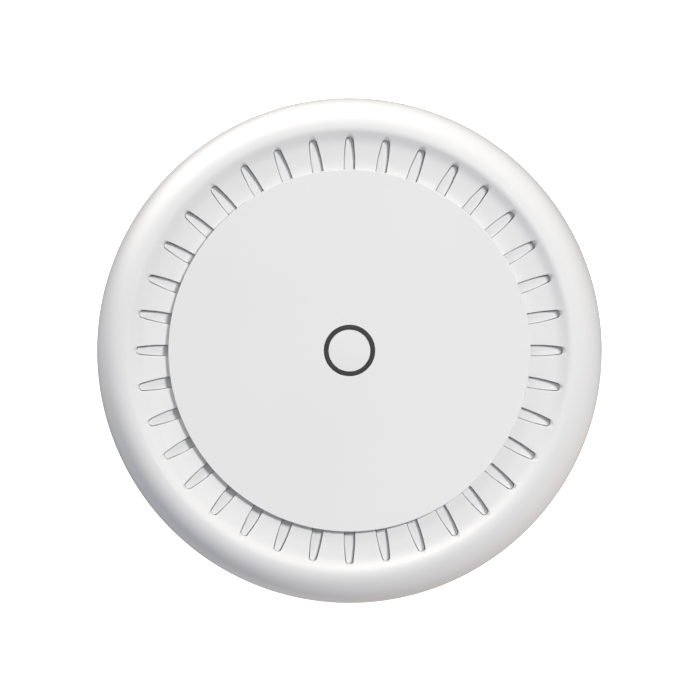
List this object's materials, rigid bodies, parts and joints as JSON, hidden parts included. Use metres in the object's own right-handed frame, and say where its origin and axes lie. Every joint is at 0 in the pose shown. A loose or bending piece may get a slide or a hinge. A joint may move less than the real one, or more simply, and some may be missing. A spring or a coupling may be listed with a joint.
{
  "type": "ceiling access point",
  "caption": "Round white ceiling-mounted wireless access point with a vented channel, a centre button in a dark light ring, a sliding cable door and a twist-lock steel bracket.",
  "frame": {"origin": "centre of the bracket's back face, on the ceiling plane", "axes": "+Z out of the ceiling into the room, through the front face; -Y towards the cable bay; +X across"},
  "size_m": [0.191, 0.191, 0.043],
  "materials": {
    "cover_white": "semi-gloss moulded white",
    "disc_white": "satin moulded white",
    "housing_white": "satin moulded white",
    "baffle_white": "satin moulded white",
    "smoked_ring": "dark smoked translucent",
    "grey_plastic": "moulded grey",
    "bracket_steel": "zinc-plated stamped steel",
    "shield_steel": "tin-plated sheet steel",
    "screw_steel": "zinc-plated",
    "sheet_aluminium": "plain rolled sheet",
    "cast_aluminium": "die-cast",
    "antenna_brass": "stamped sheet",
    "circuit_board": "green solder mask",
    "black_component": "moulded black package",
    "thermal_pad": "soft silicone pad",
    "diode_lens": "yellow phosphor lens",
    "ribbon": "flat laminated ribbon",
    "lead_jacket": "thin coaxial jacket"
  },
  "bodies": {
    "mounting_bracket": {"mounting_bracket": "bracket_steel"},
    "access_point": {"rear_housing": "housing_white", "front_cover": "cover_white", "front_disc": "disc_white", "vent_baffle": "baffle_white", "light_ring": "smoked_ring", "main_board": "circuit_board", "light_board": "circuit_board", "antenna_deck": "sheet_aluminium", "network_socket_1": "shield_steel", "network_socket_2": "shield_steel", "network_transformer_1": "black_component", "network_transformer_2": "black_component", "power_socket": "black_component", "power_transformer": "black_component", "power_inductor": "black_component", "capacitor_1": "sheet_aluminium", "capacitor_2": "sheet_aluminium", "processor": "black_component", "thermal_pad": "thermal_pad", "heat_sink": "cast_aluminium", "memory_chip_1": "black_component", "memory_chip_2": "black_component", "flash_chip": "black_component", "shield_can_1": "shield_steel", "shield_can_2": "shield_steel", "mode_switch": "black_component", "reset_switch": "black_component", "ribbon_cable": "ribbon", "ribbon_socket": "baffle_white", "light_diode_1": "diode_lens", "antenna_1": "antenna_brass", "antenna_lead_1": "lead_jacket", "case_screw_1": "screw_steel", "board_screw_1": "screw_steel", "deck_screw_1": "screw_steel", "light_diode_2": "diode_lens", "antenna_2": "antenna_brass", "antenna_lead_2": "lead_jacket", "case_screw_2": "screw_steel", "board_screw_2": "screw_steel", "deck_screw_2": "screw_steel", "light_diode_3": "diode_lens", "antenna_3": "antenna_brass", "antenna_lead_3": "lead_jacket", "case_screw_3": "screw_steel", "board_screw_3": "screw_steel", "deck_screw_3": "screw_steel", "light_diode_4": "diode_lens", "antenna_4": "antenna_brass", "antenna_lead_4": "lead_jacket", "case_screw_4": "screw_steel", "board_screw_4": "screw_steel", "deck_screw_4": "screw_steel", "light_board_screw_1": "screw_steel", "light_board_screw_2": "screw_steel"},
    "mode_button": {"mode_button": "disc_white"},
    "reset_button": {"reset_button": "grey_plastic"},
    "cable_door": {"cable_door": "housing_white"}
  },
  "joints": [
    {"name": "twist_lock", "type": "hinge", "parent": "mounting_bracket", "child": "access_point", "pos_m": [0, 0, 0], "axis": [0, 0, 1], "range_deg": [0, 25]},
    {"name": "mode_button_press", "type": "slide", "parent": "access_point", "child": "mode_button", "axis": [0, 0, -1], "range_m": [0, 0.0008], "stiffness_N_per_m": 2500},
    {"name": "reset_button_press", "type": "slide", "parent": "access_point", "child": "reset_button", "axis": [0, 1, 0], "range_m": [0, 0.0006], "stiffness_N_per_m": 2500},
    {"name": "cable_door_slide", "type": "slide", "parent": "access_point", "child": "cable_door", "axis": [0, -1, 0], "range_m": [0, 0.009]}
  ]
}
